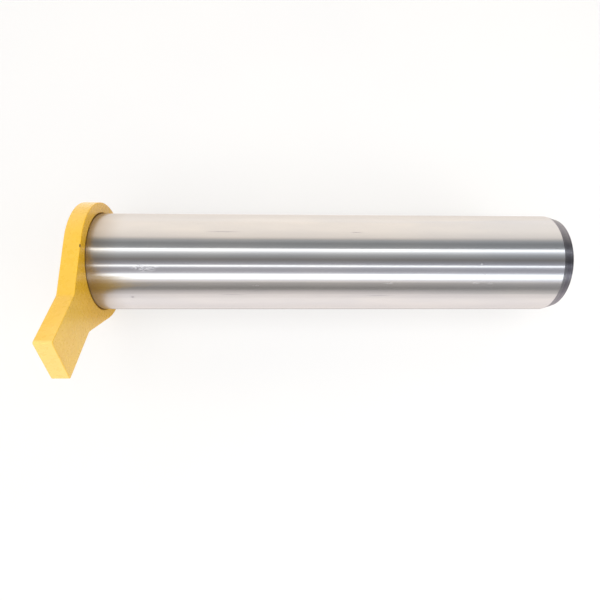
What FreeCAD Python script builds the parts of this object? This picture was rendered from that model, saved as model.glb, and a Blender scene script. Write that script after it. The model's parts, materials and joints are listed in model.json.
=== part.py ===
"""Flag pin: a heavy-equipment pivot pin whose head is a welded plate with a locking tail.

The pin's axis is the X axis. The origin is where the axis crosses the inner face of the flag
plate, which is the face that stops against the machine's boss. The shank runs along +X and the
flag and its weld lie on the -X side. Z is up, with the pin lying on its side and the tail of the
flag raised towards -Y. All sizes are in millimetres.
"""

import FreeCAD, Part
import math
import os

import Sketcher

DRIVING_SIZES = [
    ("shank_dia", 127.0, "ground bearing diameter of the shank"),
    ("shank_length", 590.5, "full-diameter length, from the flag to the lead-in"),
    ("lead_in_length", 14.0, "length of the tapered lead-in at the free end"),
    ("lead_in_end_dia", 118.6, "small diameter of the lead-in"),
    ("end_edge_break", 0.8, "chamfer round the free end face"),
    ("seat_dia", 124.0, "turned seat that carries the flag"),
    ("seat_edge_break", 1.5, "chamfer round the head end face"),
    ("head_overhang", 5.0, "how far the seat stands out behind the flag"),
    ("flag_thickness", 20.6, "flag plate"),
    ("flag_ring_dia", 155.6, "outside of the flag's round part"),
    ("flag_bore_dia", 124.1, "bore of the flag over the seat"),
    ("flag_bore_edge", 3.0, "chamfer of that bore at the inner face"),
    ("tail_width", 61.8, "across the tail's parallel sides"),
    ("tail_reach", 171.4, "pin axis to the end of the tail"),
    ("flare_corner", 99.0, "pin axis to where the flare meets the tail"),
    ("flare_radius", 12.0, "inside radius of those two corners"),
    ("tail_corner", 2.5, "outside radius of the tail's two end corners"),
    ("plate_edge", 0.8, "worn edge round the flag's outline"),
    ("tail_angle", 150.0, "tail direction, in degrees from +Y towards +Z"),
    ("weld_prep", 6.0, "bevel of the flag bore for the weld"),
    ("weld_toe", 1.6, "how far the weld laps onto the flag"),
    ("weld_height", 4.4, "how far the weld climbs up the seat"),
    ("weld_crown", 1.1, "bulge of the weld face"),
    ("weld_root_gap", 0.1, "clearance between the weld's root and the flag's bore"),
    ("recess_dia", 36.0, "counterbore that shelters the grease nipple"),
    ("recess_depth", 18.0, "depth of that counterbore"),
    ("tap_dia", 10.0, "tapped hole for the nipple"),
    ("tap_depth", 12.0, "depth of the tapped hole below the counterbore"),
    ("gallery_dia", 8.0, "grease gallery along the axis"),
    ("outlet_position", 270.0, "flag face to the grease outlet"),
    ("outlet_edge_break", 1.5, "chamfer round the outlet's mouth"),
    ("drill_tip_ratio", 0.6, "depth of a drilled tip over its radius"),
    ("drill_web_dia", 0.8, "small flat that the drill's web leaves at that tip"),
    ("centre_dia", 20.0, "lathe centre in the free end"),
    ("centre_pilot_dia", 8.0, "pilot of the lathe centre"),
    ("centre_cone_depth", 10.4, "depth of the 60 degree cone"),
    ("centre_pilot_depth", 9.0, "depth of the pilot below the cone"),
    ("nipple_head_length", 9.5, "nipple above its hexagon"),
    ("nipple_hex_length", 4.5, "hexagon of the nipple"),
    ("nipple_hex_flats", 11.0, "across the flats"),
    ("nipple_hex_break", 0.55, "bevel of the hexagon's corners"),
    ("nipple_thread_length", 6.0, "thread of the nipple"),
    ("nipple_thread_dia", 9.9, "outside of the thread"),
    ("nipple_thread_break", 0.8, "chamfer at the end of the thread"),
    ("nipple_land_dia", 6.6, "widest part of the nipple head"),
    ("nipple_land_length", 0.9, "length of that widest part"),
    ("nipple_tip_dia", 4.6, "flat tip of the nipple"),
    ("nipple_neck_dia", 5.0, "neck behind the head"),
    ("nipple_neck_start", 3.0, "tip to the start of the neck"),
    ("nipple_root_dia", 8.0, "foot of the neck on the hexagon"),
    ("nipple_root_length", 1.5, "length of that flared foot"),
    ("nipple_orifice_dia", 1.8, "inlet hole in the tip"),
    ("nipple_orifice_length", 0.7, "length of the inlet hole"),
    ("nipple_bore_dia", 3.5, "bore for the ball and spring"),
    ("nipple_lip_dia", 2.3, "crimped lip that holds the spring in"),
    ("nipple_lip_length", 0.6, "thickness of that lip"),
    ("ball_dia", 3.0, "check ball"),
    ("ball_centre", 1.94, "nipple tip to the ball's centre, closed"),
    ("spring_dia", 3.1, "outside of the check spring"),
    ("spring_wire_dia", 0.35, "spring wire"),
    ("spring_start", 2.92, "nipple tip to the first coil's centre"),
    ("spring_length", 16.2, "between the end coils' centres"),
    ("spring_turns", 10.0, "coils"),
    ("cut_overrun", 1.0, "how far a cut reaches past the metal"),
]

FLAT = 0.01  # an edge whose box is thinner than this lies flat
LEAST_CUT = 0.1  # a cut takes at least this many cubic millimetres


def make_sheet(doc):
    """The spreadsheet Sizes holds every driving size under its own alias."""
    sheet = doc.addObject("Spreadsheet::Sheet", "Sizes")
    for row, (alias, size, meaning) in enumerate(DRIVING_SIZES, start=1):
        sheet.set(f"A{row}", meaning)
        sheet.set(f"B{row}", str(size))
        sheet.setAlias(f"B{row}", alias)
    doc.recompute()
    return sheet


def new_body(doc, name, start="0"):
    """A body turned to the tail's angle, so that its own +Y runs along the tail.

    start is where its own x = 0 lies along the pin.
    """
    body = doc.addObject("PartDesign::Body", name)
    body.Label = name
    body.Placement = FreeCAD.Placement(FreeCAD.Vector(), FreeCAD.Rotation(FreeCAD.Vector(1, 0, 0), 1))
    body.setExpression("Placement.Base.x", start)
    body.setExpression("Placement.Rotation.Angle", "Sizes.tail_angle * 1 deg")
    return body


def new_sketch(body, name, role):
    """A sketch on one of the body's own origin planes."""
    plane = next(part for part in body.Origin.OriginFeatures if part.Role == role)
    sketch = body.newObject("Sketcher::SketchObject", name)
    sketch.AttachmentSupport = (plane, [""])
    sketch.MapMode = "FlatFace"
    return sketch


def amount(sketch, expression):
    """What an expression on the sheet comes to, as a plain number."""
    result = sketch.evalExpression(expression)
    return float(getattr(result, "Value", result))


def hold(sketch, kind, geometry, end, expression):
    """Holds one coordinate of a point at an expression, or on the axis where that is 0."""
    across = -2 if kind == "DistanceX" else -1
    here = amount(sketch, expression)
    if here == 0:
        sketch.addConstraint(Sketcher.Constraint("PointOnObject", geometry, end, across))
        return
    number = sketch.addConstraint(Sketcher.Constraint(kind, -1, 1, geometry, end, here))
    sketch.setExpression(f"Constraints[{number}]", expression)


def outline(sketch, corners):
    """A closed line through corners, each a pair of expressions for its two coordinates."""
    places = [FreeCAD.Vector(amount(sketch, x), amount(sketch, y), 0) for x, y in corners]
    count = len(places)
    for number in range(count):
        sketch.addGeometry(Part.LineSegment(places[number], places[(number + 1) % count]))
    for number in range(count):
        sketch.addConstraint(Sketcher.Constraint("Coincident", number, 2, (number + 1) % count, 1))
    for number, (x, y) in enumerate(corners):
        hold(sketch, "DistanceX", number, 1, x)
        hold(sketch, "DistanceY", number, 1, y)


def turn(body, kind, name, corners):
    """Revolves a half section, given as (distance along the pin, radius), about the pin axis.

    kind is PartDesign::Revolution to add metal or PartDesign::Groove to remove it.
    """
    sketch = new_sketch(body, name + "_section", "XY_Plane")
    outline(sketch, corners)
    feature = body.newObject(kind, name)
    feature.Profile = sketch
    feature.ReferenceAxis = (sketch, ["H_Axis"])
    feature.Angle = 360
    sketch.Visibility = False
    return feature


def drill(body, name, centre, size, length):
    """A round hole across the pin, from its own -Y side towards the axis."""
    sketch = new_sketch(body, name + "_circle", "XZ_Plane")
    radius = amount(sketch, size) / 2
    place = FreeCAD.Vector(amount(sketch, centre), 0, 0)
    sketch.addGeometry(Part.Circle(place, FreeCAD.Vector(0, 0, 1), radius))
    hold(sketch, "DistanceX", 0, 3, centre)
    hold(sketch, "DistanceY", 0, 3, "0")
    number = sketch.addConstraint(Sketcher.Constraint("Diameter", 0, 2 * radius))
    sketch.setExpression(f"Constraints[{number}]", size)
    hole = body.newObject("PartDesign::Pocket", name)
    hole.Profile = sketch
    hole.Reversed = True
    hole.setExpression("Length", length)
    return hole


def solid_volume(doc, body):
    """The body's volume after a recompute, to show that a cut has taken metal away."""
    doc.recompute()
    return body.Shape.Volume


def make_shank(doc):
    """The pin itself, turned and ground, with its grease drillings and lathe centre."""
    body = new_body(doc, "pin_shank", "-(Sizes.flag_thickness + Sizes.head_overhang)")
    shoulder = "Sizes.flag_thickness + Sizes.head_overhang"
    lead_in = f"{shoulder} + Sizes.shank_length"
    free_end = f"{lead_in} + Sizes.lead_in_length"
    turn(body, "PartDesign::Revolution", "turned_bar", [
        ("0", "0"),
        ("0", "Sizes.seat_dia / 2 - Sizes.seat_edge_break"),
        ("Sizes.seat_edge_break", "Sizes.seat_dia / 2"),
        (shoulder, "Sizes.seat_dia / 2"),
        (shoulder, "Sizes.shank_dia / 2"),
        (lead_in, "Sizes.shank_dia / 2"),
        (f"{free_end} - Sizes.end_edge_break", "Sizes.lead_in_end_dia / 2"),
        (free_end, "Sizes.lead_in_end_dia / 2 - Sizes.end_edge_break"),
        (free_end, "0"),
    ])
    whole = solid_volume(doc, body)

    tap_end = "Sizes.recess_depth + Sizes.tap_depth"
    gallery_end = f"{shoulder} + Sizes.outlet_position + Sizes.gallery_dia"
    gallery_tip = f"{gallery_end} + Sizes.drill_tip_ratio * Sizes.gallery_dia / 2"
    web = "Sizes.drill_web_dia / 2"
    turn(body, "PartDesign::Groove", "grease_gallery", [
        ("0", "0"),
        ("0", "Sizes.recess_dia / 2"),
        ("Sizes.recess_depth", "Sizes.recess_dia / 2"),
        ("Sizes.recess_depth", "Sizes.tap_dia / 2"),
        (tap_end, "Sizes.tap_dia / 2"),
        (tap_end, "Sizes.gallery_dia / 2"),
        (gallery_end, "Sizes.gallery_dia / 2"),
        (gallery_tip, web),
        (gallery_tip, "0"),
    ])
    bored = solid_volume(doc, body)

    cone_end = f"{free_end} - Sizes.centre_cone_depth"
    pilot_end = f"{cone_end} - Sizes.centre_pilot_depth"
    pilot_tip = f"{pilot_end} - Sizes.drill_tip_ratio * Sizes.centre_pilot_dia / 2"
    turn(body, "PartDesign::Groove", "lathe_centre", [
        (free_end, "0"),
        (free_end, "Sizes.centre_dia / 2"),
        (cone_end, "Sizes.centre_pilot_dia / 2"),
        (pilot_end, "Sizes.centre_pilot_dia / 2"),
        (pilot_tip, web),
        (pilot_tip, "0"),
    ])
    centred = solid_volume(doc, body)

    outlet = f"{shoulder} + Sizes.outlet_position"
    drill_length = "Sizes.shank_dia / 2 + Sizes.cut_overrun"
    drill(body, "grease_outlet", outlet, "Sizes.gallery_dia", drill_length)
    drilled = solid_volume(doc, body)
    skin_edge = outlet_edge(body.Tip.Shape, amount(body, "Sizes.shank_dia / 2"))
    round_off(doc, body, "PartDesign::Chamfer", "outlet_mouth", skin_edge, "Sizes.outlet_edge_break")
    opened = solid_volume(doc, body)
    check_cuts("pin_shank", [whole, bored, centred, drilled, opened])
    return body


def outlet_edge(shape, radius):
    """The name of the edge where the grease outlet breaks through the shank's skin.

    It is the only short, curved edge on the skin's -Y side.
    """
    skin = -0.9 * radius
    for number, edge in enumerate(shape.Edges, start=1):
        box = edge.BoundBox
        if box.XLength < radius / 2 and box.YMax < skin and box.YLength > FLAT:
            return [f"Edge{number}"]
    raise RuntimeError("the grease outlet doesn't reach the shank's skin")


def check_cuts(name, volumes):
    """Stops if a cut took nothing away."""
    for before, after in zip(volumes, volumes[1:]):
        if after > before - LEAST_CUT:
            raise RuntimeError(f"a cut in {name} removed nothing: {volumes}")


def flag_outline(sketch):
    """A round part with two straight flares that run tangent from it to a parallel tail.

    The flares are drawn from points about 60 degrees off the tail, and the solver slides those
    points round the ring until each flare is tangent to it.
    """
    ring = amount(sketch, "Sizes.flag_ring_dia / 2")
    half = amount(sketch, "Sizes.tail_width / 2")
    reach = amount(sketch, "Sizes.tail_reach")
    corner = amount(sketch, "Sizes.flare_corner")
    touch_x = ring * math.cos(math.radians(60))
    touch_y = ring * math.sin(math.radians(60))
    at = FreeCAD.Vector
    arc = Part.Arc(at(touch_x, touch_y, 0), at(-ring, 0, 0), at(touch_x, -touch_y, 0))
    round_part = sketch.addGeometry(arc)
    low_flare = sketch.addGeometry(Part.LineSegment(at(touch_x, -touch_y, 0), at(corner, -half, 0)))
    low_side = sketch.addGeometry(Part.LineSegment(at(corner, -half, 0), at(reach, -half, 0)))
    tail_end = sketch.addGeometry(Part.LineSegment(at(reach, -half, 0), at(reach, half, 0)))
    high_side = sketch.addGeometry(Part.LineSegment(at(reach, half, 0), at(corner, half, 0)))
    high_flare = sketch.addGeometry(Part.LineSegment(at(corner, half, 0), at(touch_x, touch_y, 0)))

    def add(*terms):
        return sketch.addConstraint(Sketcher.Constraint(*terms))

    def bind(number, expression):
        sketch.setExpression(f"Constraints[{number}]", expression)

    add("Coincident", round_part, 3, -1, 1)
    add("Tangent", high_flare, 2, round_part, 1)
    add("Tangent", low_flare, 1, round_part, 2)
    add("Coincident", low_flare, 2, low_side, 1)
    add("Coincident", low_side, 2, tail_end, 1)
    add("Coincident", tail_end, 2, high_side, 1)
    add("Coincident", high_side, 2, high_flare, 1)
    add("Horizontal", low_side)
    add("Horizontal", high_side)
    add("Symmetric", tail_end, 1, tail_end, 2, -1)
    add("Vertical", low_side, 1, high_side, 2)
    bind(add("Radius", round_part, ring), "Sizes.flag_ring_dia / 2")
    bind(add("DistanceY", tail_end, 1, tail_end, 2, 2 * half), "Sizes.tail_width")
    bind(add("DistanceX", -1, 1, tail_end, 2, reach), "Sizes.tail_reach")
    bind(add("DistanceX", -1, 1, high_side, 2, corner), "Sizes.flare_corner")


def upright_edges(shape, distance, thickness):
    """The edges through the plate's thickness that lie at one distance along the tail."""
    return [
        f"Edge{number}"
        for number, edge in enumerate(shape.Edges, start=1)
        if abs(edge.BoundBox.YMin - distance) < FLAT
        and abs(edge.BoundBox.YMax - distance) < FLAT
        and abs(edge.BoundBox.XLength - thickness) < FLAT
    ]


def rim_edges(shape):
    """The edges of the unbored plate's outline on both of its faces."""
    return [
        f"Edge{number}"
        for number, edge in enumerate(shape.Edges, start=1)
        if edge.BoundBox.XLength < FLAT
    ]


def round_off(doc, body, kind, name, edges, size):
    """A Fillet or Chamfer on some of the body's edges."""
    before = body.Tip
    feature = body.newObject(kind, name)
    feature.Base = (before, edges)
    feature.setExpression("Radius" if kind.endswith("Fillet") else "Size", size)
    doc.recompute()
    return feature


def make_flag(doc):
    """The flag plate: flame-cut outline, bored for the pin and bevelled for its weld."""
    body = new_body(doc, "flag_plate", "-Sizes.flag_thickness")
    sketch = new_sketch(body, "flag_outline", "YZ_Plane")
    flag_outline(sketch)
    pad = body.newObject("PartDesign::Pad", "plate")
    pad.Profile = sketch
    pad.setExpression("Length", "Sizes.flag_thickness")
    doc.recompute()
    thickness = amount(body, "Sizes.flag_thickness")
    flare_corners = upright_edges(body.Tip.Shape, amount(body, "Sizes.flare_corner"), thickness)
    round_off(doc, body, "PartDesign::Fillet", "flare_corners", flare_corners, "Sizes.flare_radius")
    tail_corners = upright_edges(body.Tip.Shape, amount(body, "Sizes.tail_reach"), thickness)
    round_off(doc, body, "PartDesign::Fillet", "tail_corners", tail_corners, "Sizes.tail_corner")
    rim = rim_edges(body.Tip.Shape)
    round_off(doc, body, "PartDesign::Fillet", "worn_edges", rim, "Sizes.plate_edge")
    whole = solid_volume(doc, body)

    bore = "Sizes.flag_bore_dia / 2"
    turn(body, "PartDesign::Groove", "bore_and_bevels", [
        ("0", "0"),
        ("0", f"{bore} + Sizes.weld_prep"),
        ("Sizes.weld_prep", bore),
        ("Sizes.flag_thickness - Sizes.flag_bore_edge", bore),
        ("Sizes.flag_thickness", f"{bore} + Sizes.flag_bore_edge"),
        ("Sizes.flag_thickness", "0"),
    ])
    check_cuts("flag_plate", [whole, solid_volume(doc, body)])
    return body


def make_weld(doc):
    """The weld that fills the bevel behind the flag, with a crown that bulges between its toes."""
    body = new_body(doc, "flag_weld", "-(Sizes.flag_thickness + Sizes.weld_height)")
    sketch = new_sketch(body, "weld_section", "XY_Plane")
    seat = "Sizes.seat_dia / 2"
    root = "Sizes.weld_height + Sizes.weld_prep - Sizes.weld_root_gap"
    toe = "Sizes.flag_bore_dia / 2 + Sizes.weld_prep + Sizes.weld_toe"
    corners = [
        ("0", seat),
        (root, seat),
        (root, "Sizes.flag_bore_dia / 2 + Sizes.weld_root_gap"),
        ("Sizes.weld_height", "Sizes.flag_bore_dia / 2 + Sizes.weld_prep"),
        ("Sizes.weld_height", toe),
    ]
    places = [FreeCAD.Vector(amount(sketch, x), amount(sketch, y), 0) for x, y in corners]
    for start, end in zip(places, places[1:]):
        sketch.addGeometry(Part.LineSegment(start, end))
    middle = (places[0] + places[-1]) / 2
    across = places[-1] - places[0]
    outward = FreeCAD.Vector(-across.y, across.x, 0).normalize()
    crown_point = middle + outward * amount(sketch, "Sizes.weld_crown")
    crown = sketch.addGeometry(Part.Arc(places[-1], crown_point, places[0]))
    for number in range(len(corners) - 2):
        sketch.addConstraint(Sketcher.Constraint("Coincident", number, 2, number + 1, 1))
    arc_ends = sketch.Geometry[crown]
    starts_at_toe = (arc_ends.StartPoint - places[-1]).Length < 1e-6
    toe_end, seat_end = (1, 2) if starts_at_toe else (2, 1)
    sketch.addConstraint(Sketcher.Constraint("Coincident", len(corners) - 2, 2, crown, toe_end))
    sketch.addConstraint(Sketcher.Constraint("Coincident", 0, 1, crown, seat_end))
    for number, (x, y) in enumerate(corners[:-1]):
        hold(sketch, "DistanceX", number, 1, x)
        hold(sketch, "DistanceY", number, 1, y)
    hold(sketch, "DistanceX", len(corners) - 2, 2, corners[-1][0])
    hold(sketch, "DistanceY", len(corners) - 2, 2, corners[-1][1])
    sketch.addConstraint(Sketcher.Constraint("Radius", crown, sketch.Geometry[crown].Radius))
    bead = body.newObject("PartDesign::Revolution", "bead")
    bead.Profile = sketch
    bead.ReferenceAxis = (sketch, ["H_Axis"])
    bead.Angle = 360
    return body


NIPPLE_TIP = (
    "Sizes.recess_depth - Sizes.nipple_head_length - Sizes.nipple_hex_length"
    " - Sizes.flag_thickness - Sizes.head_overhang"
)


def make_nipple(doc):
    """The grease nipple's body: thread, hexagon and the head that the grease gun grips."""
    body = new_body(doc, "grease_nipple_body", NIPPLE_TIP)
    hex_start = "Sizes.nipple_head_length"
    thread_start = f"{hex_start} + Sizes.nipple_hex_length"
    foot = f"{thread_start} + Sizes.nipple_thread_length"
    turn(body, "PartDesign::Revolution", "stem", [
        ("0", "0"),
        ("0", "Sizes.nipple_tip_dia / 2"),
        ("(Sizes.nipple_land_dia - Sizes.nipple_tip_dia) / 2", "Sizes.nipple_land_dia / 2"),
        (
            "(Sizes.nipple_land_dia - Sizes.nipple_tip_dia) / 2 + Sizes.nipple_land_length",
            "Sizes.nipple_land_dia / 2",
        ),
        ("Sizes.nipple_neck_start", "Sizes.nipple_neck_dia / 2"),
        (f"{hex_start} - Sizes.nipple_root_length", "Sizes.nipple_neck_dia / 2"),
        (hex_start, "Sizes.nipple_root_dia / 2"),
        (thread_start, "Sizes.nipple_root_dia / 2"),
        (thread_start, "Sizes.nipple_thread_dia / 2"),
        (f"{foot} - Sizes.nipple_thread_break", "Sizes.nipple_thread_dia / 2"),
        (foot, "Sizes.nipple_thread_dia / 2 - Sizes.nipple_thread_break"),
        (foot, "0"),
    ])
    hexagon = new_sketch(body, "hexagon_outline", "YZ_Plane")
    flats = amount(hexagon, "Sizes.nipple_hex_flats")
    corner = FreeCAD.Vector(flats / 3 ** 0.5, 0, 0)
    turned = [FreeCAD.Rotation(FreeCAD.Vector(0, 0, 1), 60 * side).multVec(corner) for side in range(6)]
    for side in range(6):
        hexagon.addGeometry(Part.LineSegment(turned[side], turned[(side + 1) % 6]))
    for side in range(6):
        hexagon.addConstraint(Sketcher.Constraint("Coincident", side, 2, (side + 1) % 6, 1))
    guide = hexagon.addGeometry(Part.Circle(FreeCAD.Vector(), FreeCAD.Vector(0, 0, 1), flats / 2), True)
    hexagon.addConstraint(Sketcher.Constraint("Coincident", guide, 3, -1, 1))
    for side in range(6):
        hexagon.addConstraint(Sketcher.Constraint("Tangent", side, guide))
    for side in range(4):
        hexagon.addConstraint(Sketcher.Constraint("Equal", side, side + 1))
    hexagon.addConstraint(Sketcher.Constraint("PointOnObject", 0, 1, -1))
    across = hexagon.addConstraint(Sketcher.Constraint("Diameter", guide, flats))
    hexagon.setExpression(f"Constraints[{across}]", "Sizes.nipple_hex_flats")
    hexagon.setExpression("AttachmentOffset.Base.z", hex_start)
    nut = body.newObject("PartDesign::Pad", "hexagon")
    nut.Profile = hexagon
    nut.setExpression("Length", "Sizes.nipple_hex_length")
    whole = solid_volume(doc, body)

    before_hexagon = f"{hex_start} - Sizes.cut_overrun"
    bevel_start = "Sizes.nipple_hex_flats / sqrt(3) - Sizes.nipple_hex_break - Sizes.cut_overrun"
    outside = "Sizes.nipple_hex_flats / sqrt(3) + Sizes.cut_overrun"
    turn(body, "PartDesign::Groove", "hexagon_corners", [
        (before_hexagon, bevel_start),
        (before_hexagon, outside),
        (f"{hex_start} + Sizes.nipple_hex_break + Sizes.cut_overrun", outside),
    ])
    bevelled = solid_volume(doc, body)
    orifice = "Sizes.nipple_orifice_dia / 2"
    bore = "Sizes.nipple_bore_dia / 2"
    seat_end = f"Sizes.nipple_orifice_length + {bore} - {orifice}"
    lip = f"{foot} - Sizes.nipple_lip_length"
    turn(body, "PartDesign::Groove", "ball_and_spring_bore", [
        ("0", "0"),
        ("0", orifice),
        ("Sizes.nipple_orifice_length", orifice),
        (seat_end, bore),
        (lip, bore),
        (lip, "Sizes.nipple_lip_dia / 2"),
        (foot, "Sizes.nipple_lip_dia / 2"),
        (foot, "0"),
    ])
    check_cuts("grease_nipple_body", [whole, bevelled, solid_volume(doc, body)])
    return body


def make_ball(doc):
    """The ball that closes the nipple's inlet from inside."""
    ball = doc.addObject("Part::Sphere", "check_ball")
    ball.Label = "check_ball"
    ball.setExpression("Radius", "Sizes.ball_dia / 2")
    ball.setExpression("Placement.Base.x", f"{NIPPLE_TIP} + Sizes.ball_centre")
    return ball


def make_spring(doc):
    """The coil spring that pushes the ball onto its seat."""
    body = new_body(doc, "check_spring", f"{NIPPLE_TIP} + Sizes.spring_start")
    sketch = new_sketch(body, "wire_section", "XY_Plane")
    wire = amount(sketch, "Sizes.spring_wire_dia")
    coil = "(Sizes.spring_dia - Sizes.spring_wire_dia) / 2"
    centre = FreeCAD.Vector(0, amount(sketch, coil), 0)
    sketch.addGeometry(Part.Circle(centre, FreeCAD.Vector(0, 0, 1), wire / 2))
    hold(sketch, "DistanceX", 0, 3, "0")
    hold(sketch, "DistanceY", 0, 3, coil)
    number = sketch.addConstraint(Sketcher.Constraint("Diameter", 0, wire))
    sketch.setExpression(f"Constraints[{number}]", "Sizes.spring_wire_dia")
    coils = body.newObject("PartDesign::AdditiveHelix", "coils")
    coils.Profile = sketch
    coils.ReferenceAxis = (sketch, ["H_Axis"])
    coils.Mode = "height-turns-angle"
    coils.setExpression("Height", "Sizes.spring_length")
    coils.setExpression("Turns", "Sizes.spring_turns")
    return body


def check(doc, parts):
    """Stops unless every object recomputed and every piece is one sound solid."""
    doc.recompute()
    for item in doc.Objects:
        if "Invalid" in item.State or "Error" in item.State:
            raise RuntimeError(f"{item.Label} failed: {item.State}")
    for part in parts:
        shape = part.Shape
        if shape.isNull() or not shape.isValid() or len(shape.Solids) != 1:
            raise RuntimeError(f"{part.Label} isn't one sound solid")


def export(parts):
    """Writes each piece as a STEP file under its own name."""
    os.makedirs("parts", exist_ok=True)
    for part in parts:
        part.Shape.exportStep(f"parts/{part.Label}.step")
        box = part.Shape.BoundBox
        print(
            f"{part.Label}: {part.Shape.Volume:.1f} mm3,"
            f" x {box.XMin:.2f} to {box.XMax:.2f},"
            f" y {box.YMin:.2f} to {box.YMax:.2f},"
            f" z {box.ZMin:.2f} to {box.ZMax:.2f}"
        )


def main():
    doc = FreeCAD.newDocument("flag_pin")
    make_sheet(doc)
    parts = [
        make_shank(doc),
        make_flag(doc),
        make_weld(doc),
        make_nipple(doc),
        make_ball(doc),
        make_spring(doc),
    ]
    check(doc, parts)
    export(parts)


main()
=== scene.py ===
"""Looks of the flag pin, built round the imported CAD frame.

Everything is in metres in the row frame: +X runs along the pin from the flag's inner face, the
pin's axis is y = z = 0 and Z is up. Angles round the pin are measured from the top towards +Y.
"""

import json
import math

import bpy
import numpy as np
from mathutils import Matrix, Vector


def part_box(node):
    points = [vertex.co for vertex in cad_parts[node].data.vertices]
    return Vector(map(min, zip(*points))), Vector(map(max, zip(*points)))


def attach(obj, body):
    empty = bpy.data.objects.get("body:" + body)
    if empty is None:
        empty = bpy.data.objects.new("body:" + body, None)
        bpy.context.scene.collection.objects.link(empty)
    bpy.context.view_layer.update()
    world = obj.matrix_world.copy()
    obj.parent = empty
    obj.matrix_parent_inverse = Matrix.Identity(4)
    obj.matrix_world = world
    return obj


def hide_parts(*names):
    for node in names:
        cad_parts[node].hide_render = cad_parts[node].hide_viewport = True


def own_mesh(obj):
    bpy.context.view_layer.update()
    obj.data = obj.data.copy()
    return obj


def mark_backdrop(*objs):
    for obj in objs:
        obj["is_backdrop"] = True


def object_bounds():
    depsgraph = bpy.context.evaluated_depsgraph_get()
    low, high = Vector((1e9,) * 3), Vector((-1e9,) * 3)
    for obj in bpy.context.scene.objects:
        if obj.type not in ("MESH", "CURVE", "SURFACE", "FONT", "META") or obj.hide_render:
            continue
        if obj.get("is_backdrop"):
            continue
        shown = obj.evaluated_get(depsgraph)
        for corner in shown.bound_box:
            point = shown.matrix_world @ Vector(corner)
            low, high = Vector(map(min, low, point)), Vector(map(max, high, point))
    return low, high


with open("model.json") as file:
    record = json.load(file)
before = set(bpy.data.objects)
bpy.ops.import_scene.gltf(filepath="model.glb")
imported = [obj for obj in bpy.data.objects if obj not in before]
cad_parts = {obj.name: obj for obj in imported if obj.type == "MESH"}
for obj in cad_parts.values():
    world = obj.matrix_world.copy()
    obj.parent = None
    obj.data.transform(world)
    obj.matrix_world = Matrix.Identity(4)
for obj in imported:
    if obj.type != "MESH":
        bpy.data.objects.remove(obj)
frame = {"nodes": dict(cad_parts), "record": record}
cad_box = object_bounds()

MM = 0.001
PIN_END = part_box("pin_shank")[1].x
PLATE_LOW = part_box("flag_plate")[0]
PLATE_BACK = PLATE_LOW.x
RING_RADIUS = -PLATE_LOW.z
TAIL_REACH = 171.4 * MM
WELD_LOW, WELD_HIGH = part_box("flag_weld")
MOUNTS = {mount["name"]: mount for mount in frame["record"]["mounts"]}
SHANK_RADIUS = MOUNTS["shank"]["dims"]["r_mm"] * MM
SHANK_END = MOUNTS["shank"]["dims"]["length_mm"] * MM
END_EDGE_BREAK = 0.8 * MM
SEAT_RADIUS = 62.0 * MM
SEAT_EDGE = 1.5 * MM
RECESS_RADIUS = 18.0 * MM
SPIRAL_PITCH = 4.0 * MM
CENTRE_RADIUS = 10.0 * MM
CENTRE_DEPTH = 25.0 * MM
OUTLET_PLACE = 270.0 * MM
OUTLET_REACH = 20.0 * MM
OUTLET_EDGE_BREAK = 1.5 * MM
HEAT_AND_SHADE_REACH = 45.0 * MM
RECESS_DIRT_REACH = 12.0 * MM
WELD_DIRT_REACH = 5.0 * MM
MASK_BLUR = 0.1 * MM
SHARP_EDGE = 50.0
SPOT_CORE = 0.35
MARK_CORE = 0.2

# Linear colours.
WHITE = (1.0, 1.0, 1.0, 1.0)
BLACK = (0.0, 0.0, 0.0, 1.0)
STEEL = (0.50, 0.50, 0.50, 1.0)
STEEL_WARM = (0.53, 0.525, 0.515, 1.0)
TURNED_STEEL = (0.14, 0.128, 0.170, 1.0)
TURNED_BRIGHT = (0.46, 0.485, 0.43, 1.0)
RUBBED_STEEL = (0.88, 0.88, 0.88, 1.0)
# Warm darkening of the steel near the flag: heat tint with painted shade.
HEAT_TINT_AND_SHADE = (0.76, 0.69, 0.60, 1.0)
FACED_STEEL = (0.40, 0.395, 0.39, 1.0)
RECESS_STEEL = (0.30, 0.295, 0.29, 1.0)
GREASE = (0.035, 0.026, 0.018, 1.0)
PAINT = (0.71, 0.43, 0.022, 1.0)
PAINT_DEEP = (0.68, 0.40, 0.018, 1.0)
# Paint in painted shade, for the flag's face near the pin.
PAINT_IN_PAINTED_SHADE = (0.70, 0.375, 0.004, 1.0)
# Worn paint; along the flag's edges it is also a painted highlight.
PAINT_WORN_AND_HIGHLIGHT = (0.80, 0.52, 0.08, 1.0)
# Pale paint for dust and a painted sheen on the flag's rim, and a painted highlight on its tip.
PAINT_DUST_AND_SHEEN = (0.90, 0.60, 0.20, 1.0)
GRIME = (0.16, 0.09, 0.02, 1.0)
# Paint in the seam between the flag and the pin, darkened as painted shade.
SEAM_PAINT_IN_PAINTED_SHADE = (0.50, 0.25, 0.004, 1.0)
BARE_PLATE = (0.06, 0.035, 0.006, 1.0)
ZINC = (0.66, 0.63, 0.53, 1.0)
ZINC_WARM = (0.66, 0.57, 0.40, 1.0)
CHROME = (0.80, 0.80, 0.81, 1.0)
SPRING_STEEL = (0.42, 0.42, 0.43, 1.0)
EDGE_TINT = (0.85, 0.84, 0.83, 1.0)


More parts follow.
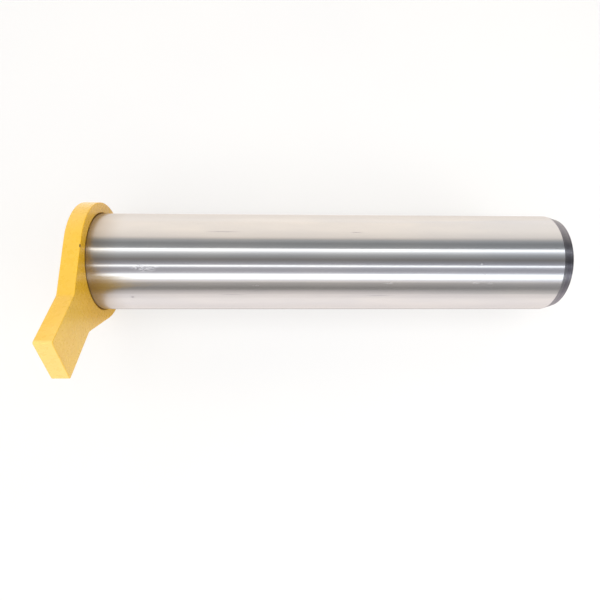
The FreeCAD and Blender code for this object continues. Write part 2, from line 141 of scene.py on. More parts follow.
class Nodes:
    """A node tree, with short names for the nodes that the materials and the light are made of."""

    def __init__(self, tree):
        self.tree = tree
        tree.nodes.clear()

    def add(self, kind, inputs=None, **settings):
        node = self.tree.nodes.new(kind)
        for name, value in settings.items():
            setattr(node, name, value)
        for socket, value in (inputs or {}).items():
            self.feed(node.inputs[socket], value)
        return node

    def feed(self, socket, value):
        if isinstance(value, bpy.types.NodeSocket):
            self.tree.links.new(value, socket)
        else:
            socket.default_value = value

    def math(self, operation, a, b=0.0, c=0.0):
        return self.add("ShaderNodeMath", {0: a, 1: b, 2: c}, operation=operation).outputs[0]

    def split(self, vector):
        return self.add("ShaderNodeSeparateXYZ", {0: vector}).outputs

    def join(self, x, y, z=0.0):
        return self.add("ShaderNodeCombineXYZ", {0: x, 1: y, 2: z}).outputs[0]

    def length(self, vector):
        return self.add("ShaderNodeVectorMath", {0: vector}, operation="LENGTH").outputs["Value"]

    def ease(self, value, low, high, start=0.0, end=1.0):
        """start below low, end above high, and a smooth step between."""
        inputs = {"Value": value, "From Min": low, "From Max": high, "To Min": start, "To Max": end}
        node = self.add("ShaderNodeMapRange", inputs, interpolation_type="SMOOTHSTEP")
        return node.outputs["Result"]

    def inside(self, value, low, high, blur):
        """1 between low and high, 0 outside, with edges blurred over that distance."""
        rising = self.ease(value, low - blur, low + blur)
        falling = self.ease(value, high - blur, high + blur, 1.0, 0.0)
        return self.math("MULTIPLY", rising, falling)

    def noise(self, vector, scale, detail=2.0, roughness=0.5):
        """Noise from 0 to 1. scale is features per metre, one number or one for each axis."""
        if isinstance(scale, tuple):
            vector = self.add("ShaderNodeMapping", {"Vector": vector, "Scale": scale}).outputs[0]
            scale = 1.0
        inputs = {"Vector": vector, "Scale": scale, "Detail": detail, "Roughness": roughness}
        return self.add("ShaderNodeTexNoise", inputs).outputs[0]

    def highest(self, *shares):
        """The largest of several masks."""
        total = shares[0]
        for share in shares[1:]:
            total = self.math("MAXIMUM", total, share)
        return total

    def overlap(self, *shares):
        """Several masks multiplied together."""
        total = shares[0]
        for share in shares[1:]:
            total = self.math("MULTIPLY", total, share)
        return total

    def opposite(self, share):
        return self.math("SUBTRACT", 1.0, share)

    def mix(self, share, a, b):
        """Colour a where share is 0, colour b where it is 1."""
        node = self.add("ShaderNodeMix", {"Factor": share}, data_type="RGBA")
        colours = [s for s in node.inputs if s.type == "RGBA"]
        self.feed(colours[0], a)
        self.feed(colours[1], b)
        return next(s for s in node.outputs if s.type == "RGBA")

    def tinted(self, colour, tint):
        """The colour multiplied by a tint."""
        node = self.add("ShaderNodeMix", {"Factor": 1.0}, data_type="RGBA", blend_type="MULTIPLY")
        colours = [s for s in node.inputs if s.type == "RGBA"]
        self.feed(colours[0], colour)
        self.feed(colours[1], tint)
        return next(s for s in node.outputs if s.type == "RGBA")

    def ramp(self, share, stops):
        """A colour for each share from 0 to 1. stops holds pairs of place and colour."""
        node = self.add("ShaderNodeValToRGB", {0: share})
        elements = node.color_ramp.elements
        for place, _ in stops[2:]:
            elements.new(place)
        for element, (place, colour) in zip(elements, stops):
            element.position = place
            element.color = colour
        return node.outputs[0]

    def blend(self, share, a, b):
        """Number a where share is 0, number b where it is 1."""
        return self.add("ShaderNodeMix", {"Factor": share, 2: a, 3: b}, data_type="FLOAT").outputs[0]


class Look(Nodes):
    """A procedural material with one Principled shader."""

    def __init__(self, name):
        self.material = bpy.data.materials.new(name)
        self.material.use_nodes = True
        super().__init__(self.material.node_tree)
        self.shader = self.add("ShaderNodeBsdfPrincipled")
        self.add("ShaderNodeOutputMaterial", {"Surface": self.shader.outputs[0]})
        self.place = self.add("ShaderNodeTexCoord").outputs["Object"]
        self.x, self.y, self.z = self.split(self.place)
        self.radius = self.length(self.join(self.y, self.z))

    def set(self, **values):
        """Sets or links the shader's sockets. An underscore in a name stands for a space."""
        for name, value in values.items():
            self.feed(self.shader.inputs[name.replace("_", " ")], value)

    def bump(self, height, distance, normal=None):
        """A bump of that height in metres where height is 1."""
        inputs = {"Height": height, "Distance": distance, "Strength": 1.0}
        if normal is not None:
            inputs["Normal"] = normal
        return self.add("ShaderNodeBump", inputs).outputs[0]

    def scattered(self, scale):
        """A direction that changes at random from place to place."""
        inputs = {"Vector": self.place, "Scale": scale, "Detail": 0.0}
        colour = self.add("ShaderNodeTexNoise", inputs).outputs["Color"]
        half = (0.5, 0.5, 0.5)
        return self.add("ShaderNodeVectorMath", {0: colour, 1: half}, operation="SUBTRACT").outputs[0]

    def spot(self, centre, size):
        """1 at centre, falling to 0 at an ellipsoid of that size."""
        nearer = [-c / s for c, s in zip(centre, size)]
        scale = [1.0 / s for s in size]
        inputs = {"Vector": self.place, "Location": nearer, "Scale": scale}
        mapped = self.add("ShaderNodeMapping", inputs).outputs[0]
        return self.ease(self.length(mapped), SPOT_CORE, 1.0, 1.0, 0.0)


def paint_colour(look):
    """Golden yellow paint: cloudy variation, a darker film in places and fine dust."""
    clouds = look.noise(look.place, 22.0, 3.0)
    fine = look.noise(look.place, 900.0, 2.0)
    colour = look.mix(look.ease(clouds, 0.35, 0.70), PAINT, PAINT_DEEP)
    dust = look.ease(fine, 0.62, 0.85, 0.0, 0.04)
    return look.mix(dust, colour, PAINT_WORN_AND_HIGHLIGHT)


def paint_bump(look, normal=None):
    """Orange peel over the slightly uneven skin of rolled plate."""
    peel = look.bump(look.noise(look.place, 420.0, 1.0), 0.006 * MM, normal)
    return look.bump(look.noise(look.place, 70.0, 2.0), 0.03 * MM, peel)


def edge_share(look, width, low, high):
    """1 along sharp edges, found where the rounded normal leaves the true one."""
    rounded = look.add("ShaderNodeBevel", {"Radius": width}, samples=6).outputs[0]
    true = look.add("ShaderNodeNewGeometry").outputs["Normal"]
    dot = look.add("ShaderNodeVectorMath", {0: rounded, 1: true}, operation="DOT_PRODUCT")
    return look.ease(look.opposite(dot.outputs["Value"]), low, high)


# Marks on the shank: distance from the flag, angle round the pin in degrees from the top towards
# +Y, half length along the pin and half width round it.
SCUFFS = [
    (0.070, -28, 0.020, 0.0055),
    (0.205, -48, 0.006, 0.0007),
    (0.370, -45, 0.008, 0.0010),
    (0.480, -45, 0.006, 0.0012),
    (0.485, -23, 0.002, 0.0020),
    (0.490, -35, 0.003, 0.0020),
    (0.500, -45, 0.008, 0.0008),
]
STREAKS = [
    (0.050, -65, 0.0035, 0.0016),
    (0.165, 15, 0.026, 0.0007),
    (0.175, -61, 0.024, 0.0005),
    (0.330, 15, 0.010, 0.0006),
    (0.360, -62, 0.022, 0.0005),
]


def mark_share(look, wrapped, marks):
    """1 at the middle of each mark, 0 beyond it."""
    shares = []
    for along, degrees, half_length, half_width in marks:
        arc = math.radians(degrees) * SHANK_RADIUS
        place = (-along / half_length, -arc / half_width, 0.0)
        scale = (1.0 / half_length, 1.0 / half_width, 1.0)
        inputs = {"Vector": wrapped, "Location": place, "Scale": scale}
        mapped = look.add("ShaderNodeMapping", inputs).outputs[0]
        shares.append(look.ease(look.length(mapped), MARK_CORE, 1.0, 1.0, 0.0))
    return look.highest(*shares)


class PinLook(Look):
    """The pin: ground shank, dull turned lead-in, faced ends, machined recess, painted head.

    Noise scales are features per metre along the pin and round it.
    """

    def __init__(self):
        super().__init__("ground_steel_look")
        self.angle = self.math("ARCTAN2", self.y, self.z)
        self.wrapped = self.join(self.x, self.math("MULTIPLY", self.angle, SHANK_RADIUS))
        self.spiral = self.join(self.radius, self.math("MULTIPLY", self.angle, SPIRAL_PITCH))
        self.find_surfaces()
        self.draw_textures()
        self.set(Base_Color=self.colour(), Roughness=self.roughness(), Metallic=self.metal())
        self.set(Normal=self.normal(), Tangent=self.tangent())
        self.set(Anisotropic=1.0, Anisotropic_Rotation=0.25, Specular_Tint=EDGE_TINT)

    def find_surfaces(self):
        """Masks for the surfaces that are finished in different ways."""
        self.beyond_shank = self.ease(self.x, SHANK_END - MASK_BLUR, SHANK_END + MASK_BLUR)
        chamfer_start = PIN_END - END_EDGE_BREAK
        centre_end = PIN_END - CENTRE_DEPTH
        free_face = self.ease(self.x, chamfer_start - MASK_BLUR, chamfer_start + MASK_BLUR)
        in_centre = self.overlap(
            self.ease(self.x, centre_end - MASK_BLUR, centre_end),
            self.ease(self.radius, CENTRE_RADIUS, CENTRE_RADIUS + MASK_BLUR, 1.0, 0.0),
        )
        self.faced = self.highest(free_face, in_centre)
        self.in_recess = self.overlap(
            self.ease(self.x, -MASK_BLUR, 0.0, 1.0, 0.0),
            self.ease(self.radius, RECESS_RADIUS, RECESS_RADIUS + 3 * MASK_BLUR, 1.0, 0.0),
        )
        on_head = self.ease(self.x, PLATE_BACK - MASK_BLUR, PLATE_BACK + MASK_BLUR, 1.0, 0.0)
        self.painted = self.overlap(on_head, self.opposite(self.in_recess))
        behind_face = self.ease(self.x, -MASK_BLUR, MASK_BLUR, 1.0, 0.0)
        self.in_seam = self.overlap(behind_face, self.opposite(self.in_recess))
        chamfer_foot = SHANK_RADIUS - OUTLET_EDGE_BREAK
        outlet_start, outlet_end = OUTLET_PLACE - OUTLET_REACH, OUTLET_PLACE + OUTLET_REACH
        self.drilled = self.overlap(
            self.ease(self.radius, chamfer_foot - 8 * MASK_BLUR, chamfer_foot, 1.0, 0.0),
            self.inside(self.x, outlet_start, outlet_end, MASK_BLUR),
        )

    def draw_textures(self):
        """Noise for the tool marks and wear, and the masks of the marks on the shank."""
        self.grain = self.noise(self.wrapped, (5200.0, 14.0, 1.0), 3.0, 0.6)
        self.lay = self.noise(self.wrapped, (420.0, 5.0, 1.0), 3.0, 0.6)
        self.haze = self.noise(self.wrapped, (9.0, 38.0, 1.0), 3.0)
        self.turning = self.noise(self.wrapped, (2600.0, 3.0, 1.0), 4.0, 0.7)
        self.facing = self.noise(self.spiral, (2400.0, 9.0, 1.0), 4.0, 0.7)
        self.patchy = self.noise(self.place, 120.0, 4.0, 0.65)
        drag = self.noise(self.wrapped, (16.0, 1500.0, 1.0), 2.0)
        self.dragged = self.overlap(self.ease(drag, 0.66, 0.80), self.ease(self.haze, 0.50, 0.66))
        breakup = self.noise(self.wrapped, (170.0, 700.0, 1.0), 3.0, 0.6)
        scuffs = mark_share(self, self.wrapped, SCUFFS)
        self.scuffed = self.overlap(scuffs, self.ease(breakup, 0.46, 0.58))
        self.streaked = mark_share(self, self.wrapped, STREAKS)
        smear = self.ease(self.noise(self.place, 160.0, 3.0), 0.45, 0.62)
        self.greasy = self.overlap(self.in_recess, smear)

    def colour(self):
        colour = self.mix(self.ease(self.haze, 0.35, 0.70), STEEL, STEEL_WARM)
        colour = self.mix(self.math("MULTIPLY", self.scuffed, 0.85), colour, RUBBED_STEEL)
        colour = self.mix(self.math("MULTIPLY", self.streaked, 0.50), colour, TURNED_STEEL)
        colour = self.mix(self.beyond_shank, colour, self.lead_in_colour())
        cut_rings = self.mix(self.ease(self.facing, 0.35, 0.70), FACED_STEEL, TURNED_STEEL)
        colour = self.mix(self.faced, colour, cut_rings)
        colour = self.mix(self.in_recess, colour, RECESS_STEEL)
        colour = self.mix(self.math("MULTIPLY", self.greasy, 0.75), colour, GREASE)
        colour = self.mix(self.math("MULTIPLY", self.drilled, 0.80), colour, GREASE)
        # Steel darker and warmer near the flag: heat tint from the weld, with painted shade.
        near_flag = self.ease(self.x, 0.0, HEAT_AND_SHADE_REACH, 1.0, 0.0)
        heat_tint_and_shade = self.overlap(near_flag, self.opposite(self.in_recess))
        colour = self.tinted(colour, self.mix(heat_tint_and_shade, WHITE, HEAT_TINT_AND_SHADE))
        # Paint in the seam, darkened as painted shade.
        colour = self.mix(self.in_seam, colour, SEAM_PAINT_IN_PAINTED_SHADE)
        return self.mix(self.painted, colour, self.head_colour())

    def lead_in_colour(self):
        """Fine turning marks with broader, darker bands left by the tool."""
        bands = self.noise(self.wrapped, (560.0, 1.5, 1.0), 2.0)
        colour = self.mix(self.ease(self.turning, 0.40, 0.72), TURNED_STEEL, TURNED_BRIGHT)
        return self.mix(self.ease(bands, 0.48, 0.60, 0.0, 0.6), colour, TURNED_STEEL)

    def head_colour(self):
        """The flag's paint, rubbed in places and dirty round the recess and along the weld."""
        recess_dirt_end = RECESS_RADIUS + RECESS_DIRT_REACH
        recess_dirt = self.ease(self.radius, RECESS_RADIUS, recess_dirt_end, 0.55, 0.0)
        weld_dirt_start, head_edge = SEAT_RADIUS - WELD_DIRT_REACH, SEAT_RADIUS - SEAT_EDGE
        weld_dirt = self.ease(self.radius, weld_dirt_start, head_edge, 0.0, 0.45)
        soiled = self.highest(recess_dirt, weld_dirt)
        soiled = self.overlap(soiled, self.ease(self.patchy, 0.42, 0.66))
        rubbed = self.ease(self.noise(self.place, 34.0, 4.0, 0.6), 0.52, 0.74, 0.0, 0.45)
        colour = self.mix(rubbed, paint_colour(self), PAINT_WORN_AND_HIGHLIGHT)
        return self.mix(soiled, colour, GRIME)

    def roughness(self):
        rough = self.ease(self.grain, 0.30, 0.75, 0.17, 0.21)
        rough = self.math("ADD", rough, self.ease(self.lay, 0.45, 0.80, 0.0, 0.03))
        rough = self.math("ADD", rough, self.math("MULTIPLY", self.dragged, 0.04))
        rough = self.blend(self.scuffed, rough, 0.42)
        rough = self.blend(self.streaked, rough, 0.34)
        rough = self.blend(self.beyond_shank, rough, self.ease(self.turning, 0.3, 0.8, 0.28, 0.44))
        rough = self.blend(self.faced, rough, self.ease(self.facing, 0.3, 0.8, 0.30, 0.46))
        rough = self.blend(self.in_recess, rough, self.blend(self.greasy, 0.40, 0.16))
        rough = self.blend(self.in_seam, rough, 0.60)
        return self.blend(self.painted, rough, self.ease(self.patchy, 0.30, 0.75, 0.28, 0.44))

    def metal(self):
        """Bare steel is metal. Paint and grease aren't."""
        return self.opposite(self.highest(self.in_seam, self.math("MULTIPLY", self.greasy, 0.8)))

    def normal(self):
        pits = self.noise(self.place, 1500.0, 2.0)
        peel = self.noise(self.place, 420.0, 1.0)
        swells = self.noise(self.place, 90.0, 3.0)
        cut_lines = self.noise(self.spiral, (900.0, 2.0, 1.0), 2.0)
        reliefs = [
            (self.grain, self.opposite(self.painted), 0.0012 * MM),
            (pits, self.scuffed, 0.03 * MM),
            (self.turning, self.beyond_shank, 0.012 * MM),
            (self.facing, self.faced, 0.015 * MM),
            (peel, self.painted, 0.03 * MM),
            (swells, self.painted, 0.10 * MM),
            (cut_lines, self.painted, 0.05 * MM),
        ]
        normal = None
        for relief, where, height in reliefs:
            normal = self.bump(self.overlap(relief, where), height, normal)
        return normal

    def tangent(self):
        """Round the pin on turned and ground steel, without a direction on paint and in the recess."""
        around = self.add("ShaderNodeTangent", direction_type="RADIAL", axis="X").outputs[0]
        plain = self.highest(self.painted, self.in_seam, self.in_recess)
        return self.mix(plain, around, self.scattered(6000.0))


# Chips in the flag's paint, as place and half size: one on the rim's inner edge and one behind.
CHIPS = [
    ((-0.5 * MM, -9.6 * MM, RING_RADIUS - 0.6 * MM), (1.0 * MM, 3.0 * MM, 1.5 * MM)),
    ((PLATE_BACK, 52.0 * MM, -57.0 * MM), (1.6 * MM, 2.4 * MM, 2.2 * MM)),
]
# The seam between the flag and the pin, outwards from the shank's radius and back from the face.
SEAM_DARK, SEAM_EDGE = 0.8 * MM, 1.8 * MM
SEAM_FADE, SEAM_DEPTH = 4.0 * MM, 6.0 * MM
DIRT_START, DIRT_END = 1.0 * MM, 14.0 * MM
SHADE_START, SHADE_END = 6.0 * MM, 58.0 * MM
TAIL_END_BLUR = 2.0 * MM
WORN_EDGE = 1.0 * MM


def plate_look():
    """The flag: semi-gloss paint over cut plate, worn and with a painted highlight along its edges,
    painted sheen with dust on the rim, painted shade near the pin, dirty and with painted shade at the
    pin's seam.
    """
    look = Look("painted_plate_look")
    facing_x = look.split(look.add("ShaderNodeTexCoord").outputs["Normal"])[0]
    on_rim = look.ease(look.math("ABSOLUTE", facing_x), 0.2, 0.6, 1.0, 0.0)
    edges = edge_share(look, WORN_EDGE, 0.02, 0.16)
    patchy = look.noise(look.place, 120.0, 3.0, 0.6)

    seam = look.ease(look.radius, SHANK_RADIUS + SEAM_DARK, SHANK_RADIUS + SEAM_EDGE, 1.0, 0.0)
    seam = look.overlap(seam, look.ease(look.x, -SEAM_DEPTH, -SEAM_FADE))
    splash = look.ease(look.radius, SHANK_RADIUS + DIRT_START, SHANK_RADIUS + DIRT_END, 1.0, 0.0)
    film = look.overlap(splash, look.ease(patchy, 0.42, 0.75, 0.0, 0.08))
    ragged = look.ease(look.noise(look.place, 700.0), 0.30, 0.45)
    chipped = look.highest(*(look.spot(place, size) for place, size in CHIPS))
    chipped = look.overlap(chipped, ragged)
    nicks = look.overlap(edges, look.ease(look.noise(look.place, 210.0, 4.0, 0.7), 0.66, 0.72))

    # Painted shade: the face darkens towards the pin, off the rim.
    painted_shade_near_pin = look.ease(look.radius, SHANK_RADIUS + SHADE_START, SHANK_RADIUS + SHADE_END, 0.8, 0.0)
    painted_shade_near_pin = look.overlap(painted_shade_near_pin, look.opposite(on_rim))
    # Painted sheen all round the rim, with dust in patches, and a painted highlight on the tail's tip.
    settled_dust_and_sheen = look.ease(look.noise(look.place, 14.0, 2.0), 0.45, 0.70, 0.12, 0.36)
    painted_tip_highlight = look.ease(look.radius, TAIL_REACH - TAIL_END_BLUR, TAIL_REACH, 0.0, 0.65)
    dust_and_sheen = look.overlap(on_rim, look.highest(settled_dust_and_sheen, painted_tip_highlight))
    colour = look.mix(painted_shade_near_pin, paint_colour(look), PAINT_IN_PAINTED_SHADE)
    colour = look.mix(dust_and_sheen, colour, PAINT_DUST_AND_SHEEN)
    # Edges lighter: worn paint and a painted highlight.
    colour = look.mix(look.math("MULTIPLY", edges, 0.35), colour, PAINT_WORN_AND_HIGHLIGHT)
    colour = look.mix(film, colour, GRIME)
    # The seam's paint, darkened as painted shade.
    colour = look.mix(seam, colour, SEAM_PAINT_IN_PAINTED_SHADE)
    colour = look.mix(look.highest(look.ease(chipped, 0.25, 0.45), nicks), colour, BARE_PLATE)

    rough = look.ease(patchy, 0.30, 0.75, 0.24, 0.34)
    rough = look.math("ADD", rough, look.math("MULTIPLY", film, 0.3))
    rough = look.blend(look.highest(seam, nicks), rough, 0.6)

    drag_lines = look.noise(look.place, (35.0, 750.0, 750.0), 2.0)
    normal = look.bump(look.overlap(drag_lines, on_rim), 0.02 * MM)
    normal = paint_bump(look, normal)
    normal = look.bump(look.highest(chipped, nicks), -0.12 * MM, normal)
    look.set(Base_Color=colour, Roughness=rough, Normal=normal, Specular_IOR_Level=0.5)
    return look.material


def weld_look():
    """The same paint, over a bead, with a little dirt in patches."""
    look = Look("painted_weld_look")
    fine = look.noise(look.place, 300.0, 4.0, 0.65)
    patchy = look.noise(look.place, 90.0, 3.0)
    colour = look.mix(look.ease(patchy, 0.45, 0.75, 0.0, 0.35), paint_colour(look), GRIME)
    spatter = look.ease(look.noise(look.place, 800.0, 1.0), 0.70, 0.78)
    normal = look.bump(fine, 0.12 * MM)
    normal = look.bump(spatter, 0.10 * MM, normal)
    look.set(Base_Color=colour, Roughness=look.ease(fine, 0.3, 0.7, 0.34, 0.50), Normal=normal)
    return look.material


def zinc_look():
    """The nipple: zinc plating over turned steel, yellowish where the passivation is thicker."""
    look = Look("plated_steel_look")
    clouds = look.noise(look.place, 420.0, 3.0)
    rings = look.noise(look.place, (9000.0, 260.0, 260.0), 2.0)
    colour = look.mix(look.ease(clouds, 0.35, 0.70), ZINC, ZINC_WARM)
    dirty = look.ease(look.noise(look.place, 700.0, 4.0, 0.7), 0.60, 0.75, 0.0, 0.5)
    colour = look.mix(dirty, colour, GREASE)
    rough = look.ease(rings, 0.3, 0.7, 0.22, 0.34)
    normal = look.bump(rings, 0.006 * MM)
    look.set(Base_Color=colour, Roughness=rough, Normal=normal, Metallic=1.0)
    return look.material


def ball_look():
    look = Look("bright_ball_look")
    marks = look.noise(look.place, (2600.0, 9000.0, 9000.0), 2.0)
    look.set(Base_Color=look.mix(look.ease(marks, 0.45, 0.8), CHROME, STEEL), Metallic=1.0)
    look.set(Roughness=look.ease(marks, 0.4, 0.8, 0.05, 0.16), Normal=look.bump(marks, 0.0006 * MM))
    return look.material


def spring_look():
    look = Look("spring_wire_look")
    drawn = look.noise(look.place, (5000.0, 1800.0, 1800.0), 3.0)
    look.set(Base_Color=look.mix(look.ease(drawn, 0.35, 0.7), SPRING_STEEL, STEEL), Metallic=1.0)
    look.set(Roughness=look.ease(drawn, 0.3, 0.7, 0.22, 0.40), Normal=look.bump(drawn, 0.003 * MM))
    return look.material


def paint_nodes():
    """Gives each CAD node its procedural material."""
    looks = {
        "pin_shank": PinLook().material,
        "flag_plate": plate_look(),
        "grease_nipple_body": zinc_look(),
        "check_ball": ball_look(),
    }
    for name, material in looks.items():
        for place in frame["nodes"][name].material_slots:
            place.material = material


def smooth(piece):
    """Smooth shading, with the sharper edges kept."""
    for face in piece.data.polygons:
        face.use_smooth = True
    piece.data.set_sharp_from_angle(angle=math.radians(SHARP_EDGE))


def new_piece(name, vertices, faces, material):
    mesh = bpy.data.meshes.new(name)
    mesh.from_pydata([tuple(v) for v in vertices], [], faces)
    mesh.materials.append(material)
    mesh.update()
    piece = bpy.data.objects.new(name, mesh)
    bpy.context.scene.collection.objects.link(piece)
    return piece


def swept(sections, closed):
    """Vertices and faces of a skin through equal sections, each a closed loop of points.

    A closed sweep is a ring. An open one has a flat face at each end.
    """
    count, size = len(sections), len(sections[0])
    vertices = [point for section in sections for point in section]
    faces = []
    for i in range(count if closed else count - 1):
        following = (i + 1) % count
        for j in range(size):
            k = (j + 1) % size
            faces.append((i * size + j, following * size + j, following * size + k, i * size + k))
    if not closed:
        faces.append(tuple(range(size)))
        faces.append(tuple(reversed(range((count - 1) * size, count * size))))
    return vertices, faces


WELD_CROWN = 1.1 * MM
WELD_TOE = 1.6 * MM
ROOT_GAP = 0.15 * MM
BEHIND_FACE = 0.02 * MM
RIPPLE_PITCH = 4.6 * MM
RIPPLE_HEIGHT = 0.55 * MM
RIPPLE_BOW = 0.9
RIPPLE_SHARPNESS = 0.7
RIPPLE_MEAN = 0.6
RIPPLE_FADE = 3.0
STEPS_PER_RIPPLE = 12
CROWN_STEPS = 14
# The bead's toe wanders: height, waves in a turn and phase of each part of it.
SWAYS = [(0.14 * MM, 5, 0.4), (0.10 * MM, 13, 2.0)]
FOOT_SWAY = 0.4


def weld_section(turn, ripple, sway):
    """The bead's section at one angle: the bulging, rippled crown, then the flat root sides."""
    toe = np.array([PLATE_BACK, WELD_HIGH.z + sway])
    foot = np.array([WELD_LOW.x + FOOT_SWAY * sway, SEAT_RADIUS])
    across = toe - foot
    outward = np.array([-across[1], across[0]]) / np.linalg.norm(across)
    points = []
    for step in range(CROWN_STEPS + 1):
        share = step / CROWN_STEPS
        swell = 4.0 * share * (1.0 - share)
        phase = ripple + RIPPLE_BOW * swell
        tooth = phase - math.floor(phase)
        wave = math.sin(math.pi * tooth) ** RIPPLE_SHARPNESS * math.sqrt(swell)
        faded = (wave - RIPPLE_MEAN) * min(1.0, RIPPLE_FADE * swell)
        points.append(foot + across * share + outward * (WELD_CROWN * swell + RIPPLE_HEIGHT * faded))
    points.append(np.array([PLATE_BACK + BEHIND_FACE, WELD_HIGH.z - WELD_TOE]))
    points.append(np.array([WELD_HIGH.x, SEAT_RADIUS + ROOT_GAP]))
    points.append(np.array([WELD_HIGH.x, SEAT_RADIUS]))
    return [(x, r * math.cos(turn), r * math.sin(turn)) for x, r in points]


def make_weld_bead():
    """The weld with its ripples, in place of the plain CAD bead."""
    around = math.pi * (SEAT_RADIUS + WELD_HIGH.z)
    ripples = round(around / RIPPLE_PITCH)
    count = ripples * STEPS_PER_RIPPLE
    sections = []
    for i in range(count):
        share = i / count
        turn = 2.0 * math.pi * share
        sway = sum(size * (math.sin(waves * turn + phase) - 1.0) for size, waves, phase in SWAYS)
        sections.append(weld_section(turn, share * ripples, sway))
    bead = new_piece("weld_bead", *swept(sections, closed=True), weld_look())
    smooth(bead)
    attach(bead, "pin")
    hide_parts("flag_weld")


SPRING_RADIUS = 1.375 * MM
WIRE_RADIUS = 0.175 * MM
SPRING_TURNS = 10.0
CLOSED_TURNS = 1.0
CLOSED_PITCH = 0.37 * MM
STEPS_PER_TURN = 40
WIRE_SIDES = 14


def make_spring():
    """The check spring with its closed end coils, as one fixed mesh. The real spring shortens as the
    ball pushes it back.
    """
    low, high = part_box("check_spring")
    start, end = low.x + WIRE_RADIUS, high.x - WIRE_RADIUS
    closed_rise = CLOSED_TURNS * CLOSED_PITCH
    changes = [0.0, CLOSED_TURNS, SPRING_TURNS - CLOSED_TURNS, SPRING_TURNS]
    places = [start, start + closed_rise, end - closed_rise, end]
    sections = []
    for step in range(round(SPRING_TURNS * STEPS_PER_TURN) + 1):
        turns = step / STEPS_PER_TURN
        x = np.interp(turns, changes, places)
        turn = 2.0 * math.pi * turns
        section = []
        for side in range(WIRE_SIDES):
            around = 2.0 * math.pi * side / WIRE_SIDES
            reach = SPRING_RADIUS + WIRE_RADIUS * math.cos(around)
            place = (x + WIRE_RADIUS * math.sin(around), reach * math.cos(turn), reach * math.sin(turn))
            section.append(place)
        sections.append(section)
    spring = new_piece("closed_spring", *swept(sections, closed=False), spring_look())
    smooth(spring)
    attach(spring, "pin")
    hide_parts("check_spring")
    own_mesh(spring)


FLOOR_RADIUS = 6.0
FLOOR_GLOW = 0.62
FLOOR_FAR_GLOW = 0.69
NEAR_GLOW_END = 0.7
FAR_GLOW_START = 3.0
FLOOR_ALBEDO = 0.30
BACKDROP_RADIUS = 9.0
BACKDROP_GLOW = 0.98
PALE = (1.0, 0.99, 0.97, 1.0)
PALE_DUSTY = (0.985, 0.975, 0.96, 1.0)
WARM_WHITE = (1.0, 0.925, 0.86, 1.0)
ROSE_WHITE = (1.0, 0.93, 0.915, 1.0)
COOL_WHITE = (0.93, 0.89, 0.88, 1.0)
# The table's tint turns from rose to warm along Y, and to cool along X.
ROSE_END, WARM_START = -0.1, 0.1
COOL_FROM, COOL_TO = 0.30, 0.75


def pale_look(name, glow, far_glow, albedo):
    """White paper with light coming through it, more where the lamps don't reach."""
    look = Look(name)
    mottle = look.noise(look.place, 3.0, 2.0)
    tint = look.mix(look.ease(mottle, 0.3, 0.7), PALE, PALE_DUSTY)
    look.set(Base_Color=look.mix(1.0 - albedo, tint, BLACK), Roughness=0.9)
    away = look.length(look.place)
    glow = look.ease(away, NEAR_GLOW_END, FAR_GLOW_START, glow, far_glow)
    look.set(Emission_Color=tint, Emission_Strength=glow, Specular_IOR_Level=0.1)
    return look.material


# How bright the lit table looks in the polished steel: distance from the pin's middle towards +Y,
# and radiance. It is dim under the pin and falls off far in front of it.
TABLE = [
    (-2.10, 0.73),
    (-1.10, 1.06),
    (-0.70, 1.22),
    (-0.45, 1.19),
    (-0.31, 1.36),
    (-0.23, 1.56),
    (-0.16, 1.60),
    (-0.11, 1.50),
    (-0.068, 1.40),
    (-0.058, 0.50),
    (0.068, 0.50),
    (0.085, 1.00),
    (0.13, 1.22),
    (0.20, 1.42),
    (0.27, 1.56),
    (0.70, 1.68),
]


def reflector_look():
    """The lit table as polished steel sees it."""
    look = Look("reflector_look")
    start, end = TABLE[0][0], TABLE[-1][0]
    brightest = max(radiance for _, radiance in TABLE)
    share = look.math("DIVIDE", look.math("SUBTRACT", look.y, start), end - start)
    stops = [((y - start) / (end - start), radiance / brightest) for y, radiance in TABLE]
    ramp = look.ramp(share, [(place, (level, level, level, 1.0)) for place, level in stops])
    look.set(Base_Color=BLACK, Roughness=1.0, Specular_IOR_Level=0.0)
    tint = look.mix(look.ease(look.y, ROSE_END, WARM_START), ROSE_WHITE, WARM_WHITE)
    tint = look.mix(look.ease(look.x, COOL_FROM, COOL_TO), tint, COOL_WHITE)
    look.set(Emission_Color=look.tinted(ramp, tint), Emission_Strength=brightest)
    return look.material


def disc_mesh(radius, rings=6, spokes=64):
    """A disc at height 0, in rings of faces."""
    vertices = [(0.0, 0.0, 0.0)]
    for ring in range(1, rings + 1):
        for spoke in range(spokes):
            turn = 2.0 * math.pi * spoke / spokes
            reach = radius * ring / rings
            vertices.append((reach * math.cos(turn), reach * math.sin(turn), 0.0))
    faces = []
    for spoke in range(spokes):
        following = (spoke + 1) % spokes
        faces.append((0, 1 + spoke, 1 + following))
        for ring in range(rings - 1):
            inner, outer = 1 + ring * spokes, 1 + (ring + 1) * spokes
            faces.append((inner + spoke, outer + spoke, outer + following, inner + following))
    return vertices, faces


def dome_mesh(radius, rings=24, spokes=64):
    """A sphere that closes the view off."""
    vertices = []
    for ring in range(rings + 1):
        lift = math.pi * (ring / rings - 0.5)
        for spoke in range(spokes):
            turn = 2.0 * math.pi * spoke / spokes
            flat = radius * math.cos(lift)
            vertices.append((flat * math.cos(turn), flat * math.sin(turn), radius * math.sin(lift)))
    faces = []
    for ring in range(rings):
        for spoke in range(spokes):
            following = (spoke + 1) % spokes
            low, high = ring * spokes, (ring + 1) * spokes
            faces.append((low + spoke, low + following, high + following, high + spoke))
    return vertices, faces


